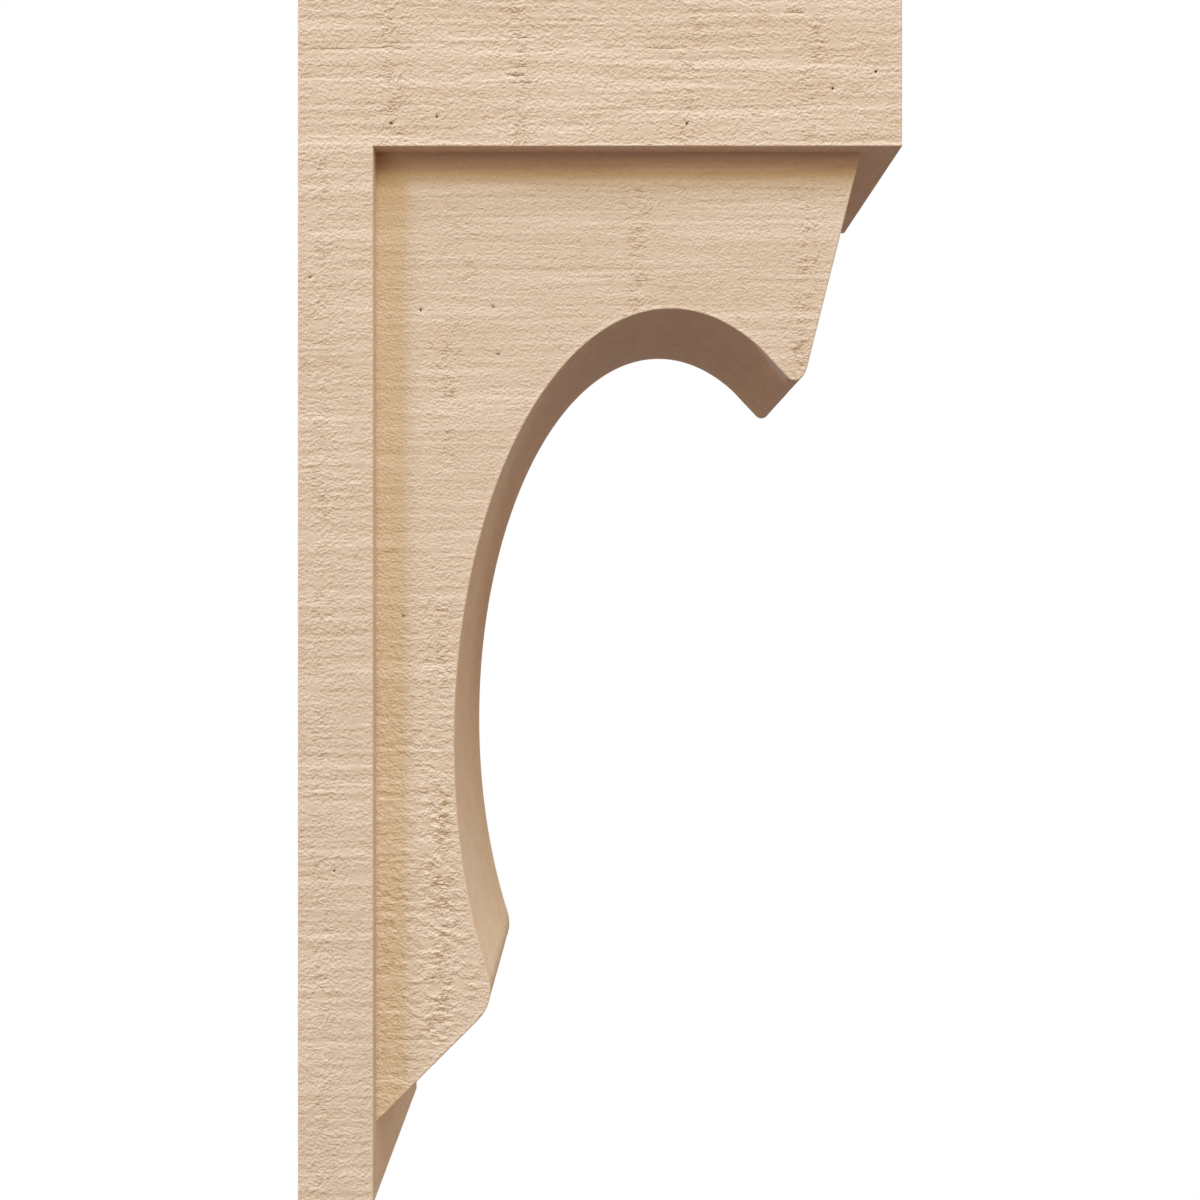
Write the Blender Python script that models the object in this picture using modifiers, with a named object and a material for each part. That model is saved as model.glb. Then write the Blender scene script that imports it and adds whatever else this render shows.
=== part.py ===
"""Polyurethane corbel in the look of rough-sawn timber: a top plate and a back plate in an L, and an
arched brace in their inner corner. X runs away from the wall, Y across it and Z up, and the origin is
the centre of the wall face."""

import math

import bmesh
import bpy
from mathutils import Vector

# Overall sizes and the boards, in metres
HEIGHT = 0.6096
PROJECTION = 0.3048
PLATE_WIDTH = 0.1397
TOP_THICKNESS = 0.0762
BACK_THICKNESS = 0.0381

# The brace: how far its sides stand in from the plates, and its front edge behind the top plate's
BRACE_INSET = 0.00794
FRONT_SETBACK = 0.01905
FRONT_LEAN = math.radians(14.07)

# The lip: the front edge turns in at its lower end, round a tip and straight back up to the arch
LIP_DROP = 0.1124
LIP_LENGTH = 0.0086
LIP_LEAN = math.radians(39.0)
LIP_RUN = 0.0261
LIP_SHOULDER_RADIUS = 0.0127
LIP_TIP_RADIUS = 0.0045

# The arch is an upright ellipse: its crown is set by the top plate and the front, and its waist, where
# the leg is narrowest, by the back plate and the corbel's lower end
CROWN_SETBACK = 0.1164
HEAD_DEPTH = 0.0800
LEG_DEPTH = 0.0399
WAIST_RISE = 0.2321

# The nose under the arch, and the chamfer from there back to the foot
FOOT_RISE = 0.0381
CHAMFER_RISE = math.radians(45.0)
NOSE_RADIUS = 0.0222

# Making
JOINT_GAP = 0.0003
EDGE_EASE = 0.0005
EASE_SEGMENTS = 2
EASE_ANGLE = math.radians(30.0)
WELD_DISTANCE = 0.00005
ARCH_STEPS = 96
CORNER_STEPS = 7
MOST_OF_A_RUN = 0.95
SOLVER_STEPS = 50
QUARTER_TURN = math.pi / 2

# Primed foam, as linear colours
TOP_COLOUR = (0.71, 0.55, 0.40)
BACK_COLOUR = (0.69, 0.53, 0.385)
BRACE_COLOUR = (0.68, 0.51, 0.365)
ROUGHNESS = 0.85
SPECULAR = 0.25


def clear_scene():
    for thing in list(bpy.data.objects):
        bpy.data.objects.remove(thing, do_unlink=True)


def new_collection(name):
    collection = bpy.data.collections.new(name)
    bpy.context.scene.collection.children.link(collection)
    return collection


def primed_foam(name, colour):
    material = bpy.data.materials.new(name)
    material.use_nodes = True
    shader = material.node_tree.nodes["Principled BSDF"]
    shader.inputs["Base Color"].default_value = (*colour, 1.0)
    shader.inputs["Roughness"].default_value = ROUGHNESS
    shader.inputs["Metallic"].default_value = 0.0
    shader.inputs["Specular IOR Level"].default_value = SPECULAR
    return material


def ease_edges(thing):
    bevel = thing.modifiers.new("eased_edges", "BEVEL")
    bevel.width = EDGE_EASE
    bevel.segments = EASE_SEGMENTS
    bevel.limit_method = "ANGLE"
    bevel.angle_limit = EASE_ANGLE
    bevel.use_clamp_overlap = True


def place(thing, collection, parent):
    collection.objects.link(thing)
    thing.parent = parent


def board(name, low, high, colour):
    """A square-cut board between two opposite corners."""
    form = bmesh.new()
    bmesh.ops.create_cube(form, size=1.0)
    bmesh.ops.scale(form, vec=high - low, verts=form.verts)
    mesh = bpy.data.meshes.new(name)
    form.to_mesh(mesh)
    form.free()
    mesh.materials.append(primed_foam(name, colour))
    thing = bpy.data.objects.new(name, mesh)
    thing.location = (low + high) / 2
    ease_edges(thing)
    return thing


def top_plate():
    half = PLATE_WIDTH / 2
    low = Vector((0.0, -half, HEIGHT / 2 - TOP_THICKNESS))
    high = Vector((PROJECTION, half, HEIGHT / 2))
    return board("top_plate", low, high, TOP_COLOUR)


def back_plate():
    half = PLATE_WIDTH / 2
    low = Vector((0.0, -half, -HEIGHT / 2))
    high = Vector((BACK_THICKNESS, half, HEIGHT / 2 - TOP_THICKNESS - JOINT_GAP))
    return board("back_plate", low, high, BACK_COLOUR)


def bisect(error, low, high):
    """The place between low and high where error changes sign."""
    sign = error(low) > 0
    for _ in range(SOLVER_STEPS):
        middle = (low + high) / 2
        if (error(middle) > 0) == sign:
            low = middle
        else:
            high = middle
    return (low + high) / 2


def arc(centre, start, end, steps):
    """Points along the shorter arc about centre from start to end, both included."""
    begin = start - centre
    sweep = begin.angle_signed(end - centre)
    points = []
    for step in range(steps + 1):
        turn = -sweep * step / steps
        cosine = math.cos(turn)
        sine = math.sin(turn)
        spoke = Vector((begin.x * cosine - begin.y * sine, begin.x * sine + begin.y * cosine))
        points.append(centre + spoke)
    return points


def rounded_corner(before, corner, after, radius):
    """The corner's arc, tangent to the straight runs before and after it and held within them."""
    back = before - corner
    ahead = after - corner
    half_angle = back.angle(ahead) / 2
    room = MOST_OF_A_RUN * min(back.length, ahead.length)
    setback = min(radius / math.tan(half_angle), room)
    back.normalize()
    ahead.normalize()
    centre = corner + (back + ahead).normalized() * setback / math.cos(half_angle)
    return arc(centre, corner + back * setback, corner + ahead * setback, CORNER_STEPS)


def brace_outline():
    """The brace's side view, as points (out from the back plate, up from the top plate)."""
    reach = PROJECTION - BACK_THICKNESS - FRONT_SETBACK
    crown_reach = PROJECTION - BACK_THICKNESS - CROWN_SETBACK
    waist = -(HEIGHT - TOP_THICKNESS - WAIST_RISE)
    foot = -(HEIGHT - TOP_THICKNESS - FOOT_RISE)
    half_width = crown_reach - LEG_DEPTH
    half_height = -waist - HEAD_DEPTH
    centre = Vector((crown_reach, waist))

    def on_arch(angle):
        return centre + Vector((half_width * math.cos(angle), half_height * math.sin(angle)))

    def into_brace(angle):
        spoke = Vector((math.cos(angle) / half_width, math.sin(angle) / half_height))
        return spoke.normalized()

    # Front edge and lip
    top_front = Vector((reach - math.tan(FRONT_LEAN) * JOINT_GAP, -JOINT_GAP))
    shoulder = Vector((reach - math.tan(FRONT_LEAN) * LIP_DROP, -LIP_DROP))
    tip = shoulder + LIP_LENGTH * Vector((-math.sin(LIP_LEAN), -math.cos(LIP_LEAN)))

    def past_lip(angle):
        return (on_arch(angle) - tip).length - LIP_RUN

    beside_tip = math.atan2((tip.y - centre.y) / half_height, (tip.x - centre.x) / half_width)
    arch_end = bisect(past_lip, QUARTER_TURN, beside_tip)
    lip_end = on_arch(arch_end)

    # Nose: a circle that touches the arch and the chamfer
    along = Vector((math.cos(CHAMFER_RISE), math.sin(CHAMFER_RISE)))
    inward = Vector((-along.y, along.x))
    heel = Vector((0.0, foot))

    def nose_centre(angle):
        return on_arch(angle) + NOSE_RADIUS * into_brace(angle)

    def clear_of_chamfer(angle):
        return (nose_centre(angle) - heel).dot(inward) - NOSE_RADIUS

    nose_start = bisect(clear_of_chamfer, 2 * QUARTER_TURN, 3 * QUARTER_TURN)
    nose = nose_centre(nose_start)
    nose_arc = arc(nose, on_arch(nose_start), nose - NOSE_RADIUS * inward, CORNER_STEPS)

    points = [Vector((JOINT_GAP, -JOINT_GAP)), top_front]
    points += rounded_corner(top_front, shoulder, tip, LIP_SHOULDER_RADIUS)
    points += rounded_corner(points[-1], tip, lip_end, LIP_TIP_RADIUS)
    for step in range(ARCH_STEPS):
        points.append(on_arch(arch_end + (nose_start - arch_end) * step / ARCH_STEPS))
    points += nose_arc
    points.append(heel + along * JOINT_GAP / along.x)
    return points


def arched_brace():
    name = "arched_brace"
    outline = bpy.data.curves.new(name, "CURVE")
    outline.dimensions = "2D"
    outline.fill_mode = "BOTH"
    outline.extrude = PLATE_WIDTH / 2 - BRACE_INSET
    points = brace_outline()
    spline = outline.splines.new("POLY")
    spline.points.add(len(points) - 1)
    for knot, point in zip(spline.points, points):
        knot.co = (point.x, point.y, 0.0, 1.0)
    spline.use_cyclic_u = True
    outline.materials.append(primed_foam(name, BRACE_COLOUR))
    thing = bpy.data.objects.new(name, outline)
    thing.location = (BACK_THICKNESS, 0.0, HEIGHT / 2 - TOP_THICKNESS)
    thing.rotation_euler = (QUARTER_TURN, 0.0, 0.0)
    weld = thing.modifiers.new("joined_faces", "WELD")
    weld.merge_threshold = WELD_DISTANCE
    ease_edges(thing)
    return thing


def main():
    clear_scene()
    collection = new_collection("polyurethane_corbel")
    wall_point = bpy.data.objects.new("wall_point", None)
    collection.objects.link(wall_point)
    for piece in (top_plate(), back_plate(), arched_brace()):
        place(piece, collection, wall_point)


main()
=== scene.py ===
"""Looks of the polyurethane corbel: a rough-sawn grain moulded into tan-primed foam, on the three boards
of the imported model. Lengths are in metres, X runs away from the wall, Y across it and Z up."""

import math

import bpy
import numpy as np
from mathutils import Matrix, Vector
from mathutils.geometry import delaunay_2d_cdt


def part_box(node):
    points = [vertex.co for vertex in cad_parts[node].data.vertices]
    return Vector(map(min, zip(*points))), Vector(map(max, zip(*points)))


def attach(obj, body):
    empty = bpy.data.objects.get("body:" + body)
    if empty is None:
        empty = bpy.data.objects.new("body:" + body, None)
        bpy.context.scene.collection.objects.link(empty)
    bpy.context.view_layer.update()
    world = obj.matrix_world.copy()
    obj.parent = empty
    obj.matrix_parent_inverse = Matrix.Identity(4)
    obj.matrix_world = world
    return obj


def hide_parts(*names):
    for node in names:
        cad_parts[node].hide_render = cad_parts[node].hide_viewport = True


QUARTER_TURN = math.pi / 2

# Camera: level with the middle of the corbel, looking straight across it
CAMERA_DISTANCE = 0.588
CAMERA_LENS = 35.0
CAMERA_SENSOR = 36.0
CAMERA_CLIP = 0.01

# Studio: a pale floor, and a warm glow all round that is brightest between the zenith and the horizon.
# Heights in the sky run from -1 straight down to 1 straight up
FLOOR_DROP = 0.86
FLOOR_RADIUS = 0.90
FLOOR_SIDES = 128
FLOOR_COLOUR = (0.80, 0.79, 0.77)
FLOOR_ROUGHNESS = 0.7
BACKDROP = (1.0, 1.0, 1.0)
GLOW_ZENITH = (0.200, 0.140, 0.090)
GLOW_ABOVE = (0.700, 0.492, 0.310)
GLOW_BELOW = (0.276, 0.212, 0.200)
GLOW_RISE = (-0.60, 0.60)
ZENITH_RISE = (0.50, 0.95)

# Soft lamps, each by its angle out from the side's plane, its angle from straight up towards +X, its
# width across the sky and its colour times its strength
LAMPS = {
    "overhead": (16.8, 5.0, 20.0, (0.488, 0.540, 0.732)),
    "overhead_front": (37.5, 2.0, 22.0, (0.376, 0.374, 0.190)),
    "right": (20.0, 42.0, 18.0, (0.172, 0.208, 0.200)),
    "upper_left": (19.0, -49.0, 11.0, (0.350, 0.550, 0.910)),
    "far_side": (-66.0, 0.0, 8.0, (0.370, 0.400, 0.420)),
}

# The brace's outline, as in the solids: the front edge, lip, arch, nose and chamfer
FRONT_SETBACK = 0.01905
FRONT_LEAN = math.radians(14.07)
LIP_DROP = 0.1124
LIP_LENGTH = 0.0086
LIP_LEAN = math.radians(39.0)
LIP_RUN = 0.0261
LIP_SHOULDER_RADIUS = 0.0127
LIP_TIP_RADIUS = 0.0045
CROWN_SETBACK = 0.1164
HEAD_DEPTH = 0.0800
LEG_DEPTH = 0.0399
WAIST_RISE = 0.2321
FOOT_RISE = 0.0381
CHAMFER_RISE = math.radians(45.0)
NOSE_RADIUS = 0.0222
JOINT_TUCK = 0.0014
MOST_OF_A_RUN = 0.95
CORNER_STEPS = 7
SOLVER_STEPS = 50
ARCH_STEPS = 400
CORNER_TURN = math.radians(20.0)

# Mesh: the spacing of its points along the grain and across it, on faces that show and on plain ones
EDGE_EASE = 0.0005
GRAIN_PITCH = 0.00105
LINE_PITCH = 0.00080
END_PITCH = 0.0034
HIDDEN_PITCH = 0.0080
BRACE_GRAIN_PITCH = 0.00130
BRACE_LINE_PITCH = 0.00086
OUTLINE_PITCH = 0.0016
WALL_PITCH = 0.0080
FINE_END_REACH = 0.009
RIM_CLEARANCE = 0.6
MERGE_DISTANCE = 1e-7
FLAT_FACING = 0.999

# Noise
NOISE_TILE = 256
NOISE_GAIN = 1.5
AXIS_SEEDS = 40
SIDE_SEEDS = 20
TOP_SEED = 100
BACK_SEED = 300
BRACE_SEEDS = (500, 560)
WALL_SEED = 620

# Relief of the rough-sawn grain. Bumps are (height, size along the lines, size across them)
EDGE_FADE = 0.0014
WALL_FADE = 0.0042
RELIEF_BASE = 0.00022
RELIEF_LIMIT = 0.0010
WIDE_WANDER = (0.0016, 0.060, 0.045)
TIGHT_WANDER = (0.0006, 0.011, 0.008)
SKEW_ALONG = (0.0022, 0.012, 0.010)
SKEW_ACROSS = (0.0012, 0.006, 0.007)
COARSE_LINES = (0.000070, 0.14, 0.0046)
FINE_LINES = (0.000095, 0.09, 0.0023)
RIPPLES = (0.000030, 0.007, 0.0045)
KNOB_SIZE = (0.0034, 0.0026)
KNOB_HEIGHT = 0.00002
TORN_KNOB_HEIGHT = 0.00030
TEAR_SIZE = (0.006, 0.0020)
TEAR_SHARPNESS = 4.0
TEAR_START = 0.85
TORN_TEARS = 0.40
TEAR_DEPTH = 0.00016
SAWN_WOOL = 0.86
TORN_WOOL = 0.5
CALM_LINES = 0.5

# Calm patches in the grain
PATCH_SPACING = 0.019
PATCH_SIZE = 0.0046
PATCH_FLATNESS = 1.2
SMALLEST_PATCH = 0.4
PATCH_CALM = 0.9

# How the brace's grain changes from its head to its leg
HEAD_COARSE = 0.74
LEG_COARSE = 1.35
HEAD_WOOLLY = 0.76
LEG_WOOLLY = 1.00
LEG_LINED = 0.75
LEG_KNOB_HEIGHT = 0.00016
LEG_RISE = 0.16

# Torn bands, rifts, pits, and the painted shade in the inner corner and along the joint under the top plate
BAND_WIDTH = 0.0045
BAND_DRIFT = (0.004, 0.04, 0.03)
BAND_TAPER = 0.015
BAND_PATCHES = (0.4, 0.020, 0.012)
SCATTERED_TEARS = 0.20
SCATTER_SIZE = (0.030, 0.022)
TORN_LIMIT = 1.5
RIFT_REACH = 0.0018
RIFT_DEPTH = 0.00020
PIT_REACH = 0.00160
PIT_DEPTH = 0.00060
CORNER_SHADE_REACH = (0.0110, 0.0135)
JOINT_SHADE_REACH = 0.0035
JOINT_SHADE_SHARE = 0.35

# Faint unevenness of the smooth moulded faces
SMOOTH_DEPTH = 0.00009
WIDE_SWELL = (0.00006, 0.021, 0.017)
SMALL_SWELL = (0.00003, 0.0075, 0.0065)

# The faces that are sawn, by axis and side, and how strong their grain is
TOP_SAWN = {(1, -1): 1.0, (1, 1): 1.0, (0, 1): 0.9, (2, 1): 0.5}
BACK_SAWN = {(1, -1): 0.88, (1, 1): 0.88}
NEAR_SIDE = (1, -1)
UNMARKED = ((), ())

# Torn bands across the grain, each by its distance from the wall, the heights it runs between and how
# torn it is
TOP_BANDS = (
    (0.048, 0.220, 0.310, 1.0),
    (0.111, 0.220, 0.310, 1.0),
    (0.197, 0.220, 0.310, 1.0),
    (0.258, 0.220, 0.310, 1.0),
)
BACK_BANDS = ((0.012, -0.310, 0.240, 0.8),)
BRACE_BANDS = (
    (0.082, 0.130, 0.200, 0.7),
    (0.074, 0.055, 0.145, 1.0),
    (0.172, 0.130, 0.220, 1.1),
    (0.258, 0.100, 0.230, 1.1),
    (0.072, -0.055, 0.020, 0.8),
    (0.071, -0.230, -0.090, 1.6),
)

# Rifts in the grain on the side that the photo shows, each a line of points (distance from the wall,
# height), and pits in the same way
TOP_RIFTS = (
    (
        (-0.002, 0.2781), (0.0200, 0.2779), (0.0440, 0.2785),
        (0.0476, 0.2792), (0.0512, 0.2776), (0.0680, 0.2766),
    ),
    ((0.0990, 0.2960), (0.1030, 0.2965), (0.1080, 0.2960), (0.1130, 0.2960)),
    ((0.1100, 0.2828), (0.1130, 0.2834), (0.1175, 0.2834)),
    ((0.1070, 0.2758), (0.1095, 0.2764), (0.1115, 0.2759), (0.1160, 0.2765)),
    ((0.1085, 0.2682), (0.1110, 0.2688), (0.1165, 0.2690)),
    ((0.1020, 0.2650), (0.1060, 0.2646), (0.1100, 0.2641), (0.1180, 0.2646)),
    ((0.0440, 0.2506), (0.0475, 0.2511), (0.0510, 0.2508)),
    ((0.1540, 0.2782), (0.1600, 0.2780)),
    ((0.1730, 0.2786), (0.1900, 0.2780), (0.1950, 0.2786), (0.1990, 0.2776)),
    ((0.2140, 0.2757), (0.2200, 0.2756)),
    ((0.2460, 0.2964), (0.2520, 0.2962), (0.2560, 0.2954)),
    ((0.2500, 0.2650), (0.2560, 0.2646), (0.2620, 0.2641)),
    ((0.1930, 0.2508), (0.1960, 0.2513), (0.2000, 0.2509)),
    ((0.2790, 0.2553), (0.2820, 0.2561), (0.2850, 0.2552)),
    ((0.2230, 0.2441), (0.2270, 0.2438), (0.2360, 0.2439)),
)
BRACE_RIFTS = (
    (
        (0.0400, -0.2246), (0.0600, -0.2247), (0.0660, -0.2249),
        (0.0695, -0.2262), (0.0730, -0.2255), (0.0790, -0.2264),
    ),
    ((0.1690, 0.2087), (0.1720, 0.2092), (0.1755, 0.2083)),
    ((0.1700, 0.2057), (0.1740, 0.2051), (0.1775, 0.2055)),
    ((0.1725, 0.1974), (0.1750, 0.1970), (0.1785, 0.1973)),
    ((0.1660, 0.1755), (0.1710, 0.1758), (0.1740, 0.1748), (0.1765, 0.1751)),
    ((0.1690, 0.1628), (0.1740, 0.1632), (0.1775, 0.1625)),
)
TOP_PITS = ((0.0471, 0.2404), (0.0702, 0.2439), (0.1962, 0.2404), (0.2698, 0.2580), (0.2915, 0.2666))
BACK_PITS = ((0.0062, 0.1628), (0.0183, -0.1366))
BRACE_PITS = ((0.0977, 0.1497), (0.1003, 0.1257), (0.0609, 0.1482), (0.0520, -0.0082))

# Primed foam: linear colours, with each board's painted brightness and how far painted shade darkens it
# downwards
FOAM_COLOUR = np.array((0.71, 0.55, 0.40))
# Painted highlight and painted shade: the raised grain turns paler and its hollows browner
RIDGE_COLOUR = FOAM_COLOUR * (1.12, 1.16, 1.24)
HOLLOW_COLOUR = FOAM_COLOUR * (0.92, 0.90, 0.87)
# A brown for painted shade in creases, rifts, the inner corner and the joint, and for scuffs
SHADE_AND_SCUFF_COLOUR = np.array((0.44, 0.27, 0.145))
# Painted shade: the floors of the pits turn near black
PIT_SHADE_COLOUR = np.array((0.13, 0.07, 0.035))
BLACK = (0.0, 0.0, 0.0)
# Each board's painted brightness and painted downward shade: the back plate and the brace are slightly
# shaded copies of the top plate's colour
TOP_FOAM = (1.0, 0.0)
BACK_FOAM = (0.985, 0.085)
BRACE_FOAM = (0.97, 0.02)
PAINTED_FALLOFF_HEIGHTS = (-0.36, 0.26)
FOAM_ROUGHNESS = 0.85
FOAM_SPECULAR = 0.2

# Noises of its fine surface, each by the size of its bumps on each axis and its detail
NOISE_ROUGHNESS = 0.55
SWIRL = ((0.009, 0.009, 0.007), 1.0)
SWIRL_REACH = (0.0016, 0.0016, 0.0012)
WOOL = ((0.0015, 0.0015, 0.0013), 0.5)
FLUFF = ((0.0009, 0.0009, 0.0008), 1.0)
LINES = ((0.055, 0.055, 0.0023), 0.0)
RIDGES = ((0.110, 0.110, 0.0058), 0.0)
CLOUDS = ((0.030, 0.030, 0.022), 2.0)
CREASES = ((0.0060, 0.0060, 0.0024), 1.0)
CREASE_SPREAD = ((0.0100, 0.0100, 0.0060), 1.0)
RAGGED_EDGE = ((0.0036, 0.0036, 0.0030), 1.0)
MOTTLE = ((0.0034, 0.0034, 0.0030), 2.0)
SMUDGES = ((0.007, 0.016, 0.012), 3.0)
SCUFFS = ((0.0050, 0.0034, 0.0050), 2.0)

# Where a noise or a measure turns into a mark
RIDGE_EDGE = (0.58, 0.70)
CREASE_EDGE = (0.030, 0.006)
CREASE_PLACES = (0.56, 0.68)
TORN_CREASE_WIDTH = 1.2
TORN_CREASE_PLACES = 0.18
RIFT_WIDTH = 0.00036
RIFT_WANDER = 0.00080
RIFT_BREAKS = (0.30, 0.60)
SCUFF_EDGE = (0.66, 0.74)
PIT_EDGE = (0.35, 0.62)
SMOOTH_EDGE = (0.4, 0.0)

# How deep each part of the fine surface is, as shares of the wool's height
WOOL_HEIGHT = 0.00050
FLUFF_SHARE = 0.22
LINE_SHARE = 0.42
CREASE_SHARE = 0.15
RIFT_SHARE = 0.40
SMOOTH_WOOL = 0.10

# How far each part of it shifts the tone. The wool, fluff, depth and line shares paint highlight onto the
# raised grain and shade into its hollows; the ridge, cloud, mottle and smudge shares are random tone
WOOL_TONE = 0.6
DEPTH_TONE = 0.3
LINE_TONE = 0.9
RIDGE_TONE = 0.5
CLOUD_TONE = 0.03
FLUFF_TONE = 0.25
MOTTLE_TONE = 0.80
SMUDGE_TONE = 1.00
# Painted shade in creases and rifts, and in the inner corner and along the joint; the scuffs are wear
CREASE_TONE = 0.26
TORN_CREASE_TONE = 0.36
RIFT_TONE = 0.9
PAINTED_SHADE_TONE = 0.95
SCUFF_TONE = 0.16

# What each point of a mesh tells its material
LOOKS = ("depth", "rough", "lined", "torn", "rift", "gap", "pit", "painted_shade")


def smooth_step(value):
    held = np.clip(value, 0.0, 1.0)
    return held * held * (3.0 - 2.0 * held)


def noise(along, across, seed):
    """Smooth noise from about -1 to 1, with a bump or hollow to each unit cell."""
    turns = np.random.default_rng(seed).random((NOISE_TILE, NOISE_TILE)) * 4 * QUARTER_TURN
    column = np.floor(along).astype(int)
    row = np.floor(across).astype(int)
    total = np.zeros(np.shape(along))
    for next_column in (0, 1):
        for next_row in (0, 1):
            turn = turns[(column + next_column) % NOISE_TILE, (row + next_row) % NOISE_TILE]
            reach_along = along - column - next_column
            reach_across = across - row - next_row
            weight = smooth_step(1.0 - np.abs(reach_along)) * smooth_step(1.0 - np.abs(reach_across))
            total += weight * (np.cos(turn) * reach_along + np.sin(turn) * reach_across)
    return NOISE_GAIN * total


def bumps(along, across, shape, seed):
    """Noise of the given shape: its height, its size along and its size across."""
    height, size_along, size_across = shape
    return height * noise(along / size_along, across / size_across, seed)


def patches(along, across, spacing, size, seed):
    """1 in the middle of small oval patches, one to a square of the given spacing, and 0 away from them."""
    spot_table = np.random.default_rng(seed).random((NOISE_TILE, NOISE_TILE, 3))
    column = np.floor(along / spacing).astype(int)
    row = np.floor(across / spacing).astype(int)
    spot = spot_table[column % NOISE_TILE, row % NOISE_TILE]
    margin = size / spacing
    centre_along = (column + margin + (1 - 2 * margin) * spot[..., 0]) * spacing
    centre_across = (row + margin + (1 - 2 * margin) * spot[..., 1]) * spacing
    reach = np.hypot(along - centre_along, PATCH_FLATNESS * (across - centre_across))
    own_size = size * (SMALLEST_PATCH + (1.0 - SMALLEST_PATCH) * spot[..., 2])
    return smooth_step(2.0 - 2.0 * reach / own_size)


def rift_mark(along, across, rifts):
    """How near each point is to a rift, from 0 to 1, and how far it lies above that rift's line."""
    nearness = np.zeros(len(along))
    gap = np.full(len(along), RIFT_REACH)
    for rift in rifts:
        places, heights = np.transpose(rift)
        above = across - np.interp(along, places, heights)
        middle = (places[0] + places[-1]) / 2
        half_length = (places[-1] - places[0]) / 2
        share = smooth_step(2.0 * (1.0 - np.abs(along - middle) / half_length))
        share = share * smooth_step(2.0 - 2.0 * np.abs(above) / RIFT_REACH)
        closer = share > nearness
        nearness = np.where(closer, share, nearness)
        gap = np.where(closer, above, gap)
    return nearness, gap


def pit_mark(along, across, pits):
    """1 at the middle of a pit, falling evenly to 0 at its brim."""
    mark = np.zeros(len(along))
    for pit_along, pit_across in pits:
        reach = np.hypot(along - pit_along, across - pit_across)
        mark = np.maximum(mark, 1.0 - reach / PIT_REACH)
    return mark


def band_mark(along, across, bands, seed):
    """How torn the grain is: near 1 in the bands that run across it, and less between them."""
    drift = bumps(along, across, BAND_DRIFT, seed)
    scatter = noise(along / SCATTER_SIZE[0], across / SCATTER_SIZE[1], seed + 1)
    torn = SCATTERED_TEARS * smooth_step(0.5 + scatter)
    patchy = 1.0 - BAND_PATCHES[0] + bumps(along, across, BAND_PATCHES, seed + 2)
    for place, bottom, top, share in bands:
        reach = (along + drift - place) / BAND_WIDTH
        beyond = np.maximum(bottom - across, across - top)
        share = share * smooth_step(-beyond / BAND_TAPER)
        torn = torn + share * patchy * np.exp(-0.5 * reach * reach)
    return np.clip(torn, 0.0, TORN_LIMIT)


def sawn_relief(along, across, bands, marked, seed, coarse=1.0, woolly=1.0, lined=1.0, knobs=KNOB_HEIGHT):
    """The rough-sawn grain at each point of a face, by name: how far it lies below the board's face, how
    rough and how torn it is, and its marks, from the rifts and pits in marked. The saw lines run along."""
    rifts, pits = marked
    wander = bumps(along, across, WIDE_WANDER, seed) + bumps(along, across, TIGHT_WANDER, seed + 1)
    line = across + wander
    torn = band_mark(along, across, bands, seed + 2)
    lively = 1.0 - PATCH_CALM * patches(along, across, PATCH_SPACING, PATCH_SIZE, seed + 5)
    skewed_along = along + bumps(along, across, SKEW_ALONG, seed + 6)
    skewed_line = line + bumps(along, across, SKEW_ACROSS, seed + 7)
    height = lined * bumps(along, line, COARSE_LINES, seed + 8)
    height += lined * bumps(along, line, FINE_LINES, seed + 9)
    height += bumps(along, line, RIPPLES, seed + 10)
    knob = noise(skewed_along / KNOB_SIZE[0], skewed_line / KNOB_SIZE[1], seed + 11)
    height += lively * (knobs + TORN_KNOB_HEIGHT * torn) * knob
    tear = noise(along / TEAR_SIZE[0], line / TEAR_SIZE[1], seed + 12)
    tear = smooth_step(TEAR_SHARPNESS * (tear - TEAR_START + TORN_TEARS * torn))
    rift, gap = rift_mark(along, across, rifts)
    pit = pit_mark(along, across, pits)
    depth = RELIEF_BASE - coarse * height + TEAR_DEPTH * tear + PIT_DEPTH * smooth_step(pit)
    depth += RIFT_DEPTH * rift * smooth_step(1.0 - np.abs(gap) / RIFT_REACH)
    return {
        "depth": np.clip(depth, 0.0, RELIEF_LIMIT),
        "rough": woolly * lively * (SAWN_WOOL + TORN_WOOL * torn),
        "lined": woolly * lined * (CALM_LINES + (1.0 - CALM_LINES) * lively),
        "torn": torn * lively,
        "rift": rift,
        "gap": gap,
        "pit": pit,
        "painted_shade": np.zeros(len(along)),
    }


def swell_depth(along, across, seed):
    """How far a smooth moulded face lies below its plane: a faint unevenness."""
    swell = bumps(along, across, WIDE_SWELL, seed) + bumps(along, across, SMALL_SWELL, seed + 1)
    return SMOOTH_DEPTH - swell


def marks(low, high, pitch):
    """Lattice places from low to high, with one more beside each end for the eased edge."""
    count = round((high - low - 2 * EDGE_EASE) / pitch)
    inner = np.linspace(low + EDGE_EASE, high - EDGE_EASE, 1 + count)
    return np.concatenate(([low], inner, [high]))


def marks_fine_at_ends(low, high, pitch, reach, middle_pitch):
    """As marks, with the given pitch only within reach of the ends."""
    first = marks(low, low + reach + EDGE_EASE, pitch)[:-1]
    last = marks(high - reach - EDGE_EASE, high, pitch)[1:]
    count = max(2, round((last[0] - first[-1]) / middle_pitch))
    middle = np.linspace(first[-1], last[0], count + 1)[1:-1]
    return np.concatenate((first, middle, last))


def sheet_quads(sheet, flipped):
    """The quads of a sheet of vertex numbers."""
    corners = [sheet[:-1, :-1], sheet[1:, :-1], sheet[1:, 1:], sheet[:-1, 1:]]
    if flipped:
        corners.reverse()
    return np.stack([corner.ravel() for corner in corners], axis=1)


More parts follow.
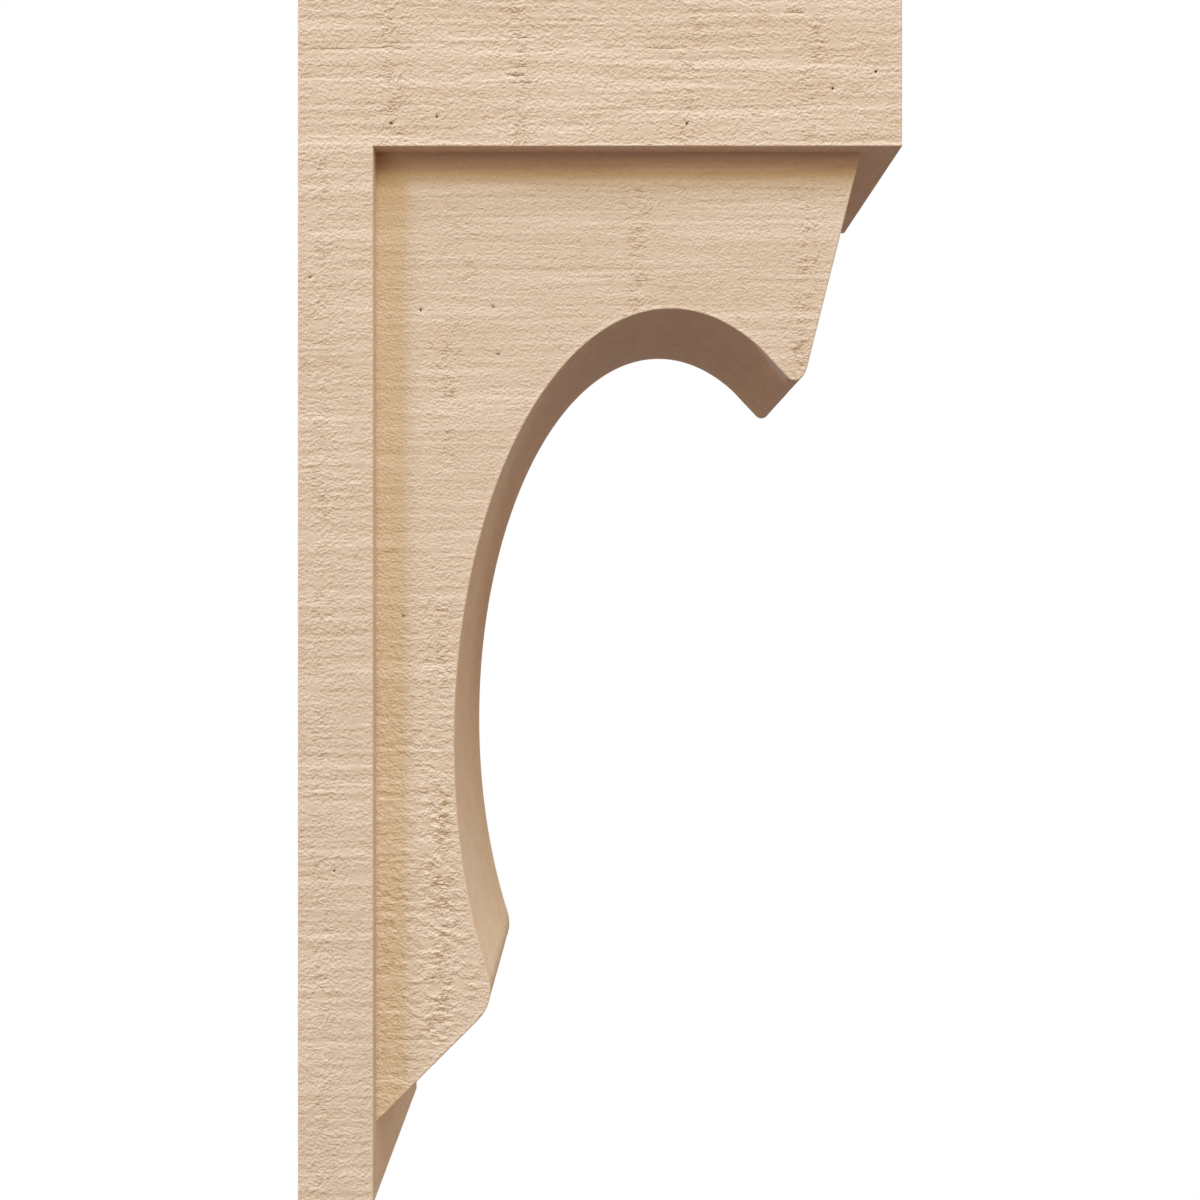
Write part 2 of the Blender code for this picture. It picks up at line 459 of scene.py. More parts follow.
def lattice_box(xs, ys, zs):
    """Vertices and quads over the faces of a box, at the given lattice places on each axis."""
    outer = np.ones((len(xs), len(ys), len(zs)), bool)
    outer[1:-1, 1:-1, 1:-1] = False
    number = np.full(outer.shape, -1)
    number[outer] = np.arange(outer.sum())
    spot = np.argwhere(outer)
    points = np.stack([xs[spot[:, 0]], ys[spot[:, 1]], zs[spot[:, 2]]], axis=1)
    sheets = (
        (number[-1], False),
        (number[0], True),
        (number[:, 0], False),
        (number[:, -1], True),
        (number[:, :, -1], False),
        (number[:, :, 0], True),
    )
    return points, np.concatenate([sheet_quads(sheet, flipped) for sheet, flipped in sheets])


def eased_box(points, low, high):
    """Rounds the box's edges. Gives the new points and the direction out of the box at each."""
    core = np.clip(points, low + EDGE_EASE, high - EDGE_EASE)
    spoke = points - core
    outward = spoke / np.linalg.norm(spoke, axis=1, keepdims=True)
    return core + EDGE_EASE * outward, outward


def make_piece(name, points, faces, attributes, material):
    mesh = bpy.data.meshes.new(name)
    mesh.from_pydata(points.tolist(), [], faces)
    mesh.shade_smooth()
    for key, values in attributes.items():
        layer = mesh.attributes.new(key, "FLOAT", "POINT")
        layer.data.foreach_set("value", values.astype(np.float32))
    mesh.materials.append(material)
    piece = bpy.data.objects.new(name, mesh)
    bpy.context.scene.collection.objects.link(piece)
    return piece


def face_relief(points, low, high, axis, strength, bands, marked, seed):
    """What each point of a board's flat face tells its material, from smooth to sawn by the strength."""
    along_axis, across_axis = ((1, 2), (0, 2), (0, 1))[axis]
    along = points[:, along_axis]
    across = points[:, across_axis]
    edge = np.minimum(along - low[along_axis], high[along_axis] - along)
    edge = np.minimum(edge, across - low[across_axis])
    edge = np.minimum(edge, high[across_axis] - across)
    sawn = sawn_relief(along, across, bands, marked, seed)
    relief = {key: strength * sawn[key] for key in LOOKS}
    relief["depth"] += (1.0 - strength) * swell_depth(along, across, seed)
    relief["depth"] *= smooth_step((edge - EDGE_EASE) / EDGE_FADE)
    return relief


def moulded_board(name, node, lattice, sawn_faces, bands, marked, seed, material, tuck=0.0):
    """A board with the grain moulded into some of its faces. sawn_faces gives the strength of the grain
    by axis and side, and the other faces are smooth. marked holds the near side's rifts and pits."""
    low, high = (np.array(corner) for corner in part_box(node))
    high[2] += tuck
    points, quads = lattice_box(*lattice(low, high))
    points, outward = eased_box(points, low, high)
    looks = {key: np.zeros(len(points)) for key in LOOKS}
    for axis in range(3):
        for side in (-1, 1):
            here = outward[:, axis] * side > FLAT_FACING
            strength = sawn_faces.get((axis, side), 0.0)
            marked_here = marked if (axis, side) == NEAR_SIDE else UNMARKED
            face_seed = seed + AXIS_SEEDS * axis + SIDE_SEEDS * (side + 1)
            relief = face_relief(points[here], low, high, axis, strength, bands, marked_here, face_seed)
            for key in LOOKS:
                looks[key][here] = relief[key]
    points = points - outward * looks["depth"][:, None]
    return make_piece(name, points, quads.tolist(), looks, material)


def bisect(error, low, high):
    """The place between low and high where error changes sign."""
    sign = error(low) > 0
    for _ in range(SOLVER_STEPS):
        middle = (low + high) / 2
        if (error(middle) > 0) == sign:
            low = middle
        else:
            high = middle
    return (low + high) / 2


def arc(centre, start, end, steps):
    """Points along the shorter arc about centre from start to end, both included."""
    begin = start - centre
    sweep = begin.angle_signed(end - centre)
    points = []
    for step in range(steps + 1):
        turn = -sweep * step / steps
        cosine = math.cos(turn)
        sine = math.sin(turn)
        spoke = Vector((begin.x * cosine - begin.y * sine, begin.x * sine + begin.y * cosine))
        points.append(centre + spoke)
    return points


def rounded_corner(before, corner, after, radius):
    """The corner's arc, tangent to the straight runs before and after it and held within them."""
    back = before - corner
    ahead = after - corner
    half_angle = back.angle(ahead) / 2
    room = MOST_OF_A_RUN * min(back.length, ahead.length)
    setback = min(radius / math.tan(half_angle), room)
    back.normalize()
    ahead.normalize()
    centre = corner + (back + ahead).normalized() * setback / math.cos(half_angle)
    return arc(centre, corner + back * setback, corner + ahead * setback, CORNER_STEPS)


def brace_outline(whole_reach, whole_height):
    """The brace's side view, as points (out from the back plate, up from the top plate), clockwise from
    the inner corner."""
    reach = whole_reach - FRONT_SETBACK
    crown_reach = whole_reach - CROWN_SETBACK
    waist = -(whole_height - WAIST_RISE)
    foot = -(whole_height - FOOT_RISE)
    half_width = crown_reach - LEG_DEPTH
    half_height = -waist - HEAD_DEPTH
    centre = Vector((crown_reach, waist))

    def on_arch(angle):
        return centre + Vector((half_width * math.cos(angle), half_height * math.sin(angle)))

    def into_brace(angle):
        spoke = Vector((math.cos(angle) / half_width, math.sin(angle) / half_height))
        return spoke.normalized()

    top_front = Vector((reach + math.tan(FRONT_LEAN) * JOINT_TUCK, JOINT_TUCK))
    shoulder = Vector((reach - math.tan(FRONT_LEAN) * LIP_DROP, -LIP_DROP))
    tip = shoulder + LIP_LENGTH * Vector((-math.sin(LIP_LEAN), -math.cos(LIP_LEAN)))

    def past_lip(angle):
        return (on_arch(angle) - tip).length - LIP_RUN

    beside_tip = math.atan2((tip.y - centre.y) / half_height, (tip.x - centre.x) / half_width)
    arch_end = bisect(past_lip, QUARTER_TURN, beside_tip)
    along = Vector((math.cos(CHAMFER_RISE), math.sin(CHAMFER_RISE)))
    inward = Vector((-along.y, along.x))
    heel = Vector((0.0, foot))

    def nose_centre(angle):
        return on_arch(angle) + NOSE_RADIUS * into_brace(angle)

    def clear_of_chamfer(angle):
        return (nose_centre(angle) - heel).dot(inward) - NOSE_RADIUS

    nose_start = bisect(clear_of_chamfer, 2 * QUARTER_TURN, 3 * QUARTER_TURN)
    nose = nose_centre(nose_start)
    points = [Vector((-JOINT_TUCK, JOINT_TUCK)), top_front]
    points += rounded_corner(top_front, shoulder, tip, LIP_SHOULDER_RADIUS)
    points += rounded_corner(points[-1], tip, on_arch(arch_end), LIP_TIP_RADIUS)
    for step in range(ARCH_STEPS):
        points.append(on_arch(arch_end + (nose_start - arch_end) * step / ARCH_STEPS))
    points += arc(nose, on_arch(nose_start), nose - NOSE_RADIUS * inward, CORNER_STEPS)
    points.append(heel - along * JOINT_TUCK / along.x)
    return np.array(points)


def evenly_spaced(outline, pitch, corner_turn):
    """The closed outline with points about a pitch apart, and its sharp corners kept."""
    ahead = np.roll(outline, -1, axis=0) - outline
    behind = np.roll(ahead, 1, axis=0)
    cross = behind[:, 0] * ahead[:, 1] - behind[:, 1] * ahead[:, 0]
    turn = np.abs(np.arctan2(cross, (behind * ahead).sum(axis=1)))
    corners = np.flatnonzero(turn > corner_turn)
    rolled = np.roll(outline, -corners[0], axis=0)
    corners = corners - corners[0]
    ends = np.append(corners[1:], len(outline))
    looped = np.append(rolled, rolled[:1], axis=0)
    points = []
    for start, end in zip(corners, ends):
        run = looped[start:end + 1]
        travel = np.append(0.0, np.cumsum(np.linalg.norm(np.diff(run, axis=0), axis=1)))
        steps = np.linspace(0.0, travel[-1], 1 + max(1, round(travel[-1] / pitch)))[:-1]
        spots = [np.interp(steps, travel, run[:, column]) for column in (0, 1)]
        points.append(np.stack(spots, axis=1))
    return np.concatenate(points)


def outward_mitres(loop):
    """At each point of a clockwise loop, the step out that moves both its edges out by 1."""
    ahead = np.roll(loop, -1, axis=0) - loop
    ahead /= np.linalg.norm(ahead, axis=1, keepdims=True)
    normal = np.stack([-ahead[:, 1], ahead[:, 0]], axis=1)
    before = np.roll(normal, 1, axis=0)
    return (normal + before) / (1.0 + (normal * before).sum(axis=1))[:, None]


def inside(loop, points):
    """Which points lie inside the closed loop."""
    odd = np.zeros(len(points), bool)
    for start, end in zip(loop, np.roll(loop, -1, axis=0)):
        straddles = (start[1] > points[:, 1]) != (end[1] > points[:, 1])
        share = (points[:, 1] - start[1]) / (end[1] - start[1] if end[1] != start[1] else 1.0)
        odd ^= straddles & (points[:, 0] < start[0] + share * (end[0] - start[0]))
    return odd


def distance_to(loop, points):
    """Each point's distance to the closed loop."""
    nearest = np.full(len(points), np.inf)
    for start, end in zip(loop, np.roll(loop, -1, axis=0)):
        run = end - start
        share = np.clip(((points - start) @ run) / (run @ run), 0.0, 1.0)
        nearest = np.minimum(nearest, np.linalg.norm(points - start - share[:, None] * run, axis=1))
    return nearest


def side_face(loop):
    """Points and triangles over the inside of a clockwise loop: the loop's points, then a lattice."""
    low = loop.min(axis=0)
    high = loop.max(axis=0)
    xs = np.arange(low[0], high[0], BRACE_GRAIN_PITCH)
    zs = np.arange(low[1], high[1], BRACE_LINE_PITCH)
    lattice = np.stack(np.meshgrid(xs, zs, indexing="ij"), axis=-1).reshape(-1, 2)
    lattice = lattice[inside(loop, lattice)]
    reach = distance_to(loop, lattice)
    clear = reach > RIM_CLEARANCE * BRACE_LINE_PITCH
    points = np.concatenate((loop, lattice[clear]))
    count = len(loop)
    rim = [(number, (number + 1) % count) for number in range(count)]
    result = delaunay_2d_cdt([Vector(point) for point in points.tolist()], rim, [], 1, MERGE_DISTANCE)
    triangles = np.array(result[2])
    assert len(result[0]) == len(points)
    return points, triangles, np.concatenate((np.zeros(count), reach[clear]))


def brace_side_looks(face, edge, corner, marked, seed):
    """What each point of the brace's side tells its material, with painted shade in the inner corner and
    along the joint with the top plate. The corner is where the three boards meet, as (distance from the
    wall, height)."""
    along = face[:, 0]
    across = face[:, 1]
    leg = smooth_step(0.5 - across / LEG_RISE)
    coarse = HEAD_COARSE + (LEG_COARSE - HEAD_COARSE) * leg
    woolly = HEAD_WOOLLY + (LEG_WOOLLY - HEAD_WOOLLY) * leg
    lined = 1.0 + (LEG_LINED - 1.0) * leg
    knobs = KNOB_HEIGHT + (LEG_KNOB_HEIGHT - KNOB_HEIGHT) * leg
    relief = sawn_relief(along, across, BRACE_BANDS, marked, seed, coarse, woolly, lined, knobs)
    # Painted shade: the side darkens in the inner corner where the back and top plates meet it, and in a
    # line along its joint with the top plate
    from_back = (along - corner[0]) / CORNER_SHADE_REACH[0]
    from_top = (corner[1] - across) / CORNER_SHADE_REACH[1]
    joint = np.exp(-((corner[1] - across) / JOINT_SHADE_REACH) ** 2)
    relief["painted_shade"] = np.maximum(np.exp(-(from_back ** 2 + from_top ** 2)), JOINT_SHADE_SHARE * joint)
    relief["depth"] = relief["depth"] * smooth_step(edge / EDGE_FADE)
    return relief


def wall_looks(travel, place, half_width):
    """What one ring of the smooth wall round the brace tells its material. It is even at the wall's rims
    and where the ring starts."""
    fade = smooth_step((half_width - EDGE_EASE - abs(place)) / WALL_FADE)
    fade = fade * smooth_step(np.minimum(travel, travel[-1] - travel) / WALL_FADE)
    relief = {key: np.zeros(len(travel)) for key in LOOKS}
    relief["depth"] = fade * swell_depth(travel, np.full(len(travel), place), WALL_SEED)
    return relief


def moulded_brace(name, node, material):
    """The arched brace: a sawn side, a smooth wall in rings from the near side to the far one, and the
    other sawn side."""
    low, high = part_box(node)
    back_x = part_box("back_plate")[1].x
    top_low, top_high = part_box("top_plate")
    corner = (back_x, top_low.z)
    half_width = (high.y - low.y) / 2
    outline = brace_outline(top_high.x - back_x, top_low.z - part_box("back_plate")[0].z) + np.array(corner)
    loop = evenly_spaced(outline, OUTLINE_PITCH, CORNER_TURN)
    mitres = outward_mitres(loop)
    face, triangles, edge = side_face(loop - EDGE_EASE * mitres)

    points = []
    outward = []
    reliefs = []
    faces = []
    sides = ((-1, BRACE_SEEDS[0], (BRACE_RIFTS, BRACE_PITS)), (1, BRACE_SEEDS[1], UNMARKED))
    for side, seed, marked in sides:
        start = len(face) * len(points)
        points.append(np.stack([face[:, 0], np.full(len(face), side * half_width), face[:, 1]], axis=1))
        outward.append(np.tile((0.0, side, 0.0), (len(face), 1)))
        reliefs.append(brace_side_looks(face, edge, corner, marked, seed))
        order = triangles if side < 0 else triangles[:, ::-1]
        faces += (order + start).tolist()

    count = len(loop)
    ease = EDGE_EASE * (1.0 - math.sqrt(0.5))
    flat = half_width - EDGE_EASE
    across = np.linspace(-flat, flat, 1 + round(2 * half_width / WALL_PITCH))
    places = [(ease - half_width, ease), *((place, 0.0) for place in across), (half_width - ease, ease)]
    travel = np.cumsum(np.linalg.norm(np.diff(loop, axis=0, prepend=loop[:1]), axis=1))
    rings = [np.arange(count)]
    for number, (place, inset) in enumerate(places):
        ring = loop - inset * mitres
        points.append(np.stack([ring[:, 0], np.full(count, place), ring[:, 1]], axis=1))
        outward.append(np.stack([mitres[:, 0], np.zeros(count), mitres[:, 1]], axis=1))
        reliefs.append(wall_looks(travel, place, half_width))
        rings.append(np.arange(count) + 2 * len(face) + count * number)
    rings.append(np.arange(count) + len(face))
    for ring, following in zip(rings, rings[1:]):
        band = [ring, np.roll(ring, -1), np.roll(following, -1), following]
        faces += np.stack(band, axis=1).tolist()

    looks = {key: np.concatenate([relief[key] for relief in reliefs]) for key in LOOKS}
    points = np.concatenate(points) - np.concatenate(outward) * looks["depth"][:, None]
    return make_piece(name, points, faces, looks, material)


def add_node(tree, kind, settings=(), **values):
    node = tree.nodes.new(kind)
    for key, value in dict(settings).items():
        setattr(node, key, value)
    for key, value in values.items():
        node.inputs[key.replace("_", " ")].default_value = value
    return node


def calculate(tree, operation, *terms):
    """A Math node. Each term is a socket or a number."""
    node = add_node(tree, "ShaderNodeMath", {"operation": operation})
    for socket, term in zip(node.inputs, terms):
        if isinstance(term, bpy.types.NodeSocket):
            tree.links.new(term, socket)
        else:
            socket.default_value = term
    return node.outputs[0]


def calculate_vector(tree, operation, *terms):
    """As calculate, for vectors."""
    node = add_node(tree, "ShaderNodeVectorMath", {"operation": operation})
    for socket, term in zip(node.inputs, terms):
        if isinstance(term, bpy.types.NodeSocket):
            tree.links.new(term, socket)
        else:
            socket.default_value = term
    return node.outputs[0]


def stretched_noise(tree, place, shape, output="Fac"):
    """Noise of the given shape: the size of its bumps on each axis, and its detail."""
    cell, detail = shape
    scaled = calculate_vector(tree, "DIVIDE", place, cell)
    texture = add_node(tree, "ShaderNodeTexNoise", Scale=1.0, Detail=detail, Roughness=NOISE_ROUGHNESS)
    tree.links.new(scaled, texture.inputs["Vector"])
    return texture.outputs[output]


def in_range(tree, value, low, high):
    """0 up to low, 1 from high, and a smooth rise between them."""
    smooth = {"interpolation_type": "SMOOTHSTEP"}
    node = add_node(tree, "ShaderNodeMapRange", smooth, From_Min=low, From_Max=high)
    tree.links.new(value, node.inputs["Value"])
    return node.outputs["Result"]


def attribute(tree, name):
    """What the mesh tells the material under the given name."""
    return add_node(tree, "ShaderNodeAttribute", {"attribute_name": name}).outputs["Fac"]


def mix_colour(tree, share, first, second):
    """Colour between first and second. Each is a socket or a linear colour."""
    node = add_node(tree, "ShaderNodeMix", {"data_type": "RGBA"})
    tree.links.new(share, node.inputs["Factor"])
    for socket, term in ((node.inputs[6], first), (node.inputs[7], second)):
        if isinstance(term, bpy.types.NodeSocket):
            tree.links.new(term, socket)
        else:
            socket.default_value = (*term, 1.0)
    return node.outputs[2]


def crease_mark(tree, place, warped, torn):
    """Fine creases where a noise is near its middle, in some places only and more in torn grain."""
    crease = calculate(tree, "SUBTRACT", stretched_noise(tree, warped, CREASES), 0.5)
    width = calculate(tree, "MULTIPLY_ADD", torn, TORN_CREASE_WIDTH, 1.0)
    crease = calculate(tree, "DIVIDE", calculate(tree, "ABSOLUTE", crease), width)
    spread = stretched_noise(tree, place, CREASE_SPREAD)
    spread = calculate(tree, "MULTIPLY_ADD", torn, TORN_CREASE_PLACES, spread)
    spread = in_range(tree, spread, *CREASE_PLACES)
    return calculate(tree, "MULTIPLY", in_range(tree, crease, *CREASE_EDGE), spread)


def rift_line(tree, place, warped):
    """A thin ragged line, broken in places, where the gap to the nearest rift is next to nothing."""
    ragged = calculate(tree, "SUBTRACT", stretched_noise(tree, place, RAGGED_EDGE), 0.5)
    gap = calculate(tree, "MULTIPLY_ADD", ragged, RIFT_WANDER, attribute(tree, "gap"))
    rift = in_range(tree, calculate(tree, "ABSOLUTE", gap), RIFT_WIDTH, 0.0)
    rift = calculate(tree, "MULTIPLY", rift, attribute(tree, "rift"))
    unbroken = in_range(tree, stretched_noise(tree, warped, CREASES), *RIFT_BREAKS)
    return calculate(tree, "MULTIPLY", rift, unbroken)


def foam_surface(tree, place):
    """The fine surface of the foam, by name."""
    swirl = stretched_noise(tree, place, SWIRL, "Color")
    swirl = calculate_vector(tree, "SUBTRACT", swirl, (0.5, 0.5, 0.5))
    warped = calculate_vector(tree, "ADD", place, calculate_vector(tree, "MULTIPLY", swirl, SWIRL_REACH))
    torn = attribute(tree, "torn")
    rough = attribute(tree, "rough")
    return {
        "wool": stretched_noise(tree, warped, WOOL),
        "fluff": stretched_noise(tree, place, FLUFF),
        "line": calculate(tree, "SUBTRACT", stretched_noise(tree, warped, LINES), 0.5),
        "lined": attribute(tree, "lined"),
        "ridge": in_range(tree, stretched_noise(tree, warped, RIDGES), *RIDGE_EDGE),
        "crease": crease_mark(tree, place, warped, torn),
        "rift": rift_line(tree, place, warped),
        "torn": torn,
        "woolly": calculate(tree, "MULTIPLY_ADD", rough, 1.0 - SMOOTH_WOOL, SMOOTH_WOOL),
        "smooth": in_range(tree, rough, *SMOOTH_EDGE),
    }


def foam_normal(tree, surface):
    """The bump of what is too fine for the mesh: wool, lines, creases and rifts."""
    height = calculate(tree, "MULTIPLY_ADD", surface["fluff"], FLUFF_SHARE, surface["wool"])
    height = calculate(tree, "MULTIPLY_ADD", surface["crease"], -CREASE_SHARE, height)
    height = calculate(tree, "MULTIPLY_ADD", surface["rift"], -RIFT_SHARE, height)
    height = calculate(tree, "SUBTRACT", height, (1.0 + FLUFF_SHARE) / 2)
    height = calculate(tree, "MULTIPLY", height, surface["woolly"])
    line = calculate(tree, "MULTIPLY", surface["line"], surface["lined"])
    height = calculate(tree, "MULTIPLY_ADD", line, LINE_SHARE, height)
    bump = add_node(tree, "ShaderNodeBump", Strength=1.0, Distance=WOOL_HEIGHT)
    tree.links.new(height, bump.inputs["Height"])
    return bump.outputs["Normal"]


def foam_tone(tree, place, surface):
    """The tone, from 0 on ridges to 1 in hollows: painted highlight on the raised wool, fluff, lines and
    relief and painted shade in their hollows, with random ridges, clouds, mottle and smudges.
    """
    depth = calculate(tree, "DIVIDE", attribute(tree, "depth"), 2 * RELIEF_BASE)
    tone = calculate(tree, "MULTIPLY", calculate(tree, "SUBTRACT", 0.5, surface["wool"]), WOOL_TONE)
    tone = calculate(tree, "MULTIPLY_ADD", calculate(tree, "SUBTRACT", depth, 0.5), DEPTH_TONE, tone)
    tone = calculate(tree, "MULTIPLY", tone, surface["woolly"])
    stripe = calculate(tree, "MULTIPLY", surface["line"], -LINE_TONE)
    stripe = calculate(tree, "MULTIPLY_ADD", surface["ridge"], -RIDGE_TONE, stripe)
    tone = calculate(tree, "MULTIPLY_ADD", stripe, surface["lined"], tone)
    cloud = stretched_noise(tree, place, CLOUDS)
    mottle = stretched_noise(tree, place, MOTTLE)
    for noise_here, share in ((cloud, CLOUD_TONE), (surface["fluff"], FLUFF_TONE), (mottle, MOTTLE_TONE)):
        tone = calculate(tree, "MULTIPLY_ADD", calculate(tree, "SUBTRACT", 0.5, noise_here), share, tone)
    smudge = calculate(tree, "SUBTRACT", 0.5, stretched_noise(tree, place, SMUDGES))
    smudge = calculate(tree, "MULTIPLY", smudge, SMUDGE_TONE)
    tone = calculate(tree, "MULTIPLY_ADD", smudge, surface["smooth"], tone)
    return calculate(tree, "ADD", tone, 0.5)


def foam_shade_and_scuffs(tree, place, surface):
    """How far the colour turns to a dark brown: painted shade in creases, rifts, the inner corner and along
    the joint, and scuffs of wear on the smooth faces.
    """
    share = calculate(tree, "MULTIPLY_ADD", surface["torn"], TORN_CREASE_TONE, CREASE_TONE)
    shade_and_scuff = calculate(tree, "MULTIPLY", surface["crease"], share)
    scuff = in_range(tree, stretched_noise(tree, place, SCUFFS), *SCUFF_EDGE)
    scuff = calculate(tree, "MULTIPLY", scuff, surface["smooth"])
    painted_shade = attribute(tree, "painted_shade")
    for mark, share in ((surface["rift"], RIFT_TONE), (painted_shade, PAINTED_SHADE_TONE), (scuff, SCUFF_TONE)):
        shade_and_scuff = calculate(tree, "MAXIMUM", shade_and_scuff, calculate(tree, "MULTIPLY", mark, share))
    return shade_and_scuff


def primed_foam(name, painted_brightness, painted_falloff):
    """Matt tan primer over the moulded grain, with a woolly surface finer than the mesh holds. Its colour
    is paler on ridges and browner in hollows, as painted highlight and painted shade with some random tone.
    It is scaled by the board's painted brightness and darkened towards the bottom of the corbel by the
    given share of painted shade."""
    material = bpy.data.materials.new(name)
    material.use_nodes = True
    tree = material.node_tree
    shader = tree.nodes["Principled BSDF"]
    shader.inputs["Roughness"].default_value = FOAM_ROUGHNESS
    shader.inputs["Specular IOR Level"].default_value = FOAM_SPECULAR
    place = add_node(tree, "ShaderNodeTexCoord").outputs["Object"]
    surface = foam_surface(tree, place)
    tone = foam_tone(tree, place, surface)
    colour = mix_colour(tree, tone, RIDGE_COLOUR * painted_brightness, HOLLOW_COLOUR * painted_brightness)
    shade_and_scuff = foam_shade_and_scuffs(tree, place, surface)
    colour = mix_colour(tree, shade_and_scuff, colour, SHADE_AND_SCUFF_COLOUR * painted_brightness)
    # Painted shade in the pits
    pit = in_range(tree, attribute(tree, "pit"), *PIT_EDGE)
    colour = mix_colour(tree, pit, colour, PIT_SHADE_COLOUR)
    parts = add_node(tree, "ShaderNodeSeparateXYZ")
    tree.links.new(place, parts.inputs[0])
    # Painted shade: the colour darkens towards the bottom of the corbel
    height = in_range(tree, parts.outputs["Z"], *PAINTED_FALLOFF_HEIGHTS)
    light = calculate(tree, "MULTIPLY_ADD", height, painted_falloff, 1.0 - painted_falloff)
    tree.links.new(mix_colour(tree, light, BLACK, colour), shader.inputs["Base Color"])
    tree.links.new(foam_normal(tree, surface), shader.inputs["Normal"])
    return material


def add_camera():
    """A level camera that looks straight across the corbel, over the middle of the top plate."""
    data = bpy.data.cameras.new("camera")
    data.lens = CAMERA_LENS
    data.sensor_width = CAMERA_SENSOR
    data.clip_start = CAMERA_CLIP
    camera = bpy.data.objects.new("camera", data)
    low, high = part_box("top_plate")
    camera.location = ((low.x + high.x) / 2, low.y - CAMERA_DISTANCE, 0.0)
    camera.rotation_euler = (QUARTER_TURN, 0.0, 0.0)
    bpy.context.scene.collection.objects.link(camera)
    bpy.context.scene.camera = camera


def add_lamp(name, lift, turn, width, light):
    """A soft lamp far away. The light is what a white sheet that faces it would show."""
    data = bpy.data.lights.new(name, "SUN")
    data.angle = math.radians(width)
    data.energy = math.pi * max(light)
    data.color = [part / max(light) for part in light]
    lift = math.radians(lift)
    turn = math.radians(turn)
    towards = Vector((math.cos(lift) * math.sin(turn), -math.sin(lift), math.cos(lift) * math.cos(turn)))
    lamp = bpy.data.objects.new(name, data)
    lamp.rotation_euler = towards.to_track_quat("Z", "Y").to_euler()
    bpy.context.scene.collection.objects.link(lamp)


def add_world():
    """The glow all round, and a plain backdrop that the camera alone sees."""
    world = bpy.data.worlds.new("studio")
    world.use_nodes = True
    bpy.context.scene.world = world
    tree = world.node_tree
    tree.nodes.clear()
    direction = add_node(tree, "ShaderNodeTexCoord")
    parts = add_node(tree, "ShaderNodeSeparateXYZ")
    light = add_node(tree, "ShaderNodeBackground")
    backdrop = add_node(tree, "ShaderNodeBackground", Color=(*BACKDROP, 1.0))
    path = add_node(tree, "ShaderNodeLightPath")
    choice = add_node(tree, "ShaderNodeMixShader")
    output = add_node(tree, "ShaderNodeOutputWorld")
    link = tree.links.new
    link(direction.outputs["Generated"], parts.inputs[0])
    sky = mix_colour(tree, in_range(tree, parts.outputs["Z"], *GLOW_RISE), GLOW_BELOW, GLOW_ABOVE)
    sky = mix_colour(tree, in_range(tree, parts.outputs["Z"], *ZENITH_RISE), sky, GLOW_ZENITH)
    link(sky, light.inputs["Color"])
    link(path.outputs["Is Camera Ray"], choice.inputs[0])
    link(light.outputs[0], choice.inputs[1])
    link(backdrop.outputs[0], choice.inputs[2])
    link(choice.outputs[0], output.inputs["Surface"])


def add_floor():
    """A plain pale disc, below what the camera sees. It throws no light back at the corbel."""
    low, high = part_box("top_plate")
    bpy.ops.mesh.primitive_circle_add(
        vertices=FLOOR_SIDES,
        radius=FLOOR_RADIUS,
        fill_type="NGON",
        location=((low.x + high.x) / 2, (low.y + high.y) / 2, -FLOOR_DROP),
    )
    floor = bpy.context.object
    floor.name = "floor"
    floor.visible_diffuse = False
    material = bpy.data.materials.new("pale_floor")
    material.use_nodes = True
    shader = material.node_tree.nodes["Principled BSDF"]
    shader.inputs["Base Color"].default_value = (*FLOOR_COLOUR, 1.0)
    shader.inputs["Roughness"].default_value = FLOOR_ROUGHNESS
    floor.data.materials.append(material)


def set_view():
    view = bpy.context.scene.view_settings
    view.view_transform = "Standard"
    view.look = "None"
    view.exposure = 0.0
    view.gamma = 1.0


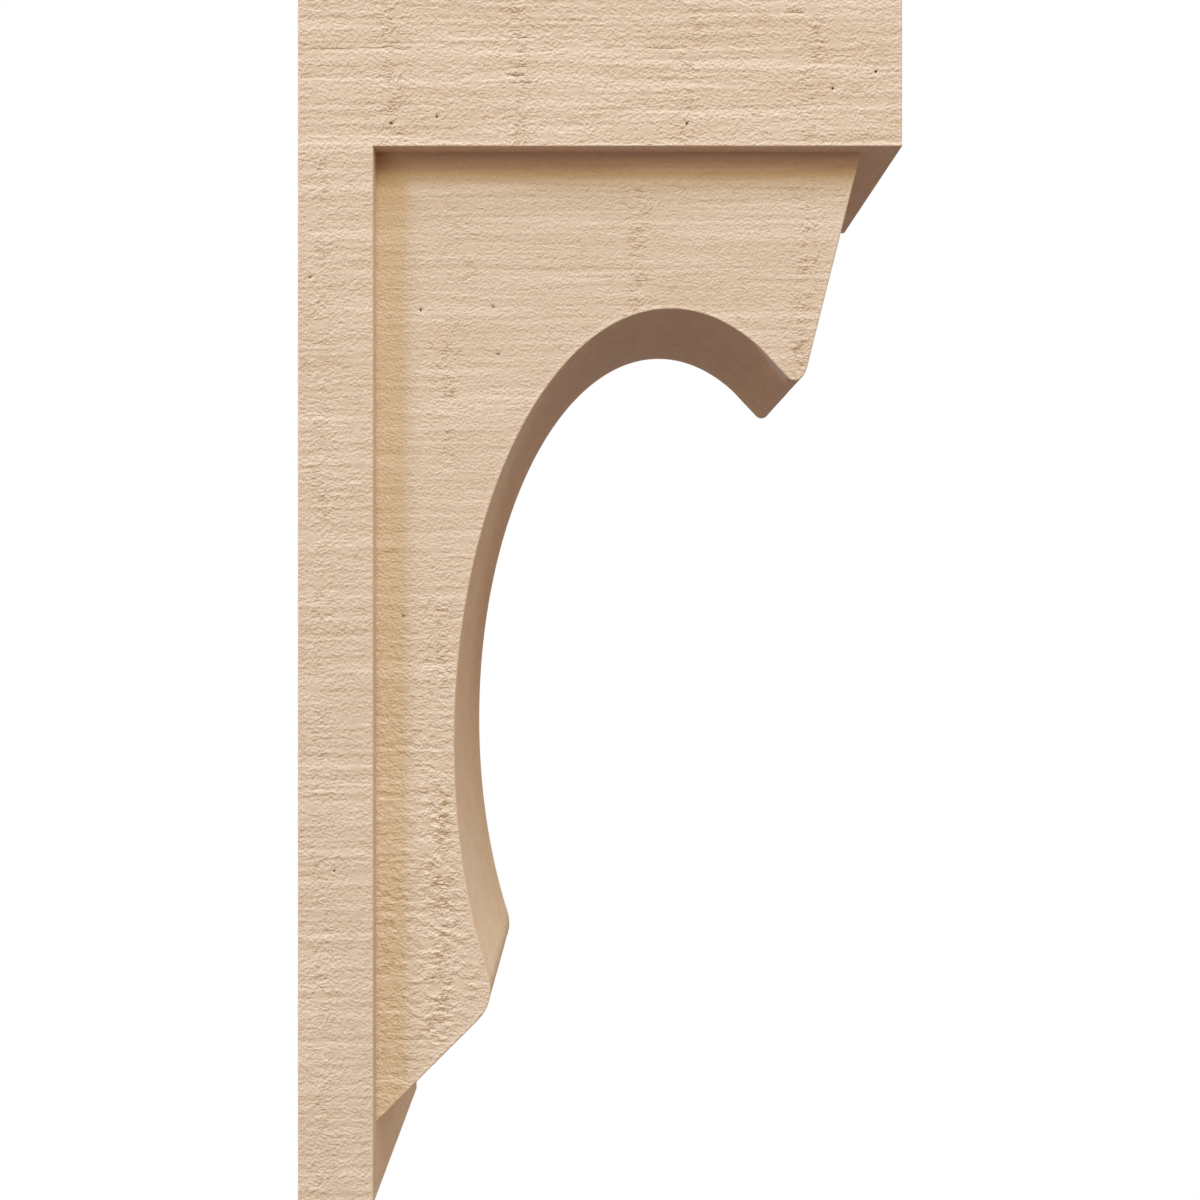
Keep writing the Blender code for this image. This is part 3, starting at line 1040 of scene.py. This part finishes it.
def top_plate_lattice(low, high):
    xs = marks(low[0], high[0], GRAIN_PITCH)
    ys = marks(low[1], high[1], END_PITCH)
    zs = marks(low[2], high[2], LINE_PITCH)
    return xs, ys, zs


def back_plate_lattice(low, high):
    xs = marks(low[0], high[0], GRAIN_PITCH)
    ys = marks_fine_at_ends(low[1], high[1], 2 * GRAIN_PITCH, FINE_END_REACH, HIDDEN_PITCH)
    zs = marks(low[2], high[2], LINE_PITCH)
    return xs, ys, zs


def moulded_top_plate():
    name = "moulded_top_plate"
    marked = (TOP_RIFTS, TOP_PITS)
    foam = primed_foam("primed_foam_top_plate", *TOP_FOAM)
    return moulded_board(
        name, "top_plate", top_plate_lattice, TOP_SAWN, TOP_BANDS, marked, TOP_SEED, foam)


def moulded_back_plate():
    """The back plate, which reaches a little into the top plate, so that no gap shows between them."""
    name = "moulded_back_plate"
    marked = ((), BACK_PITS)
    foam = primed_foam("primed_foam_back_plate", *BACK_FOAM)
    return moulded_board(
        name, "back_plate", back_plate_lattice, BACK_SAWN, BACK_BANDS, marked, BACK_SEED, foam, JOINT_TUCK)


def add_boards():
    """The dressed boards, each in place of its solid."""
    top_piece = moulded_top_plate()
    back_piece = moulded_back_plate()
    brace_foam = primed_foam("primed_foam_arched_brace", *BRACE_FOAM)
    brace_piece = moulded_brace("moulded_arched_brace", "arched_brace", brace_foam)
    dressed = ((top_piece, "top_plate"), (back_piece, "back_plate"), (brace_piece, "arched_brace"))
    for piece, node in dressed:
        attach(piece, "root")
        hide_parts(node)


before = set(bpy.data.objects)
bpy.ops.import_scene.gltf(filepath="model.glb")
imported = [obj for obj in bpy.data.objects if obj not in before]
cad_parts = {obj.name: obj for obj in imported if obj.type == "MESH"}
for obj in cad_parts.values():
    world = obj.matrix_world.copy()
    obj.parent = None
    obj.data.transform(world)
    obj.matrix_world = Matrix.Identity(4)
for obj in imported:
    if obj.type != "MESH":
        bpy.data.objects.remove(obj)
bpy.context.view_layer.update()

set_view()
add_camera()
add_world()
for lamp_name, lamp in LAMPS.items():
    add_lamp(lamp_name, *lamp)
add_boards()
add_floor()
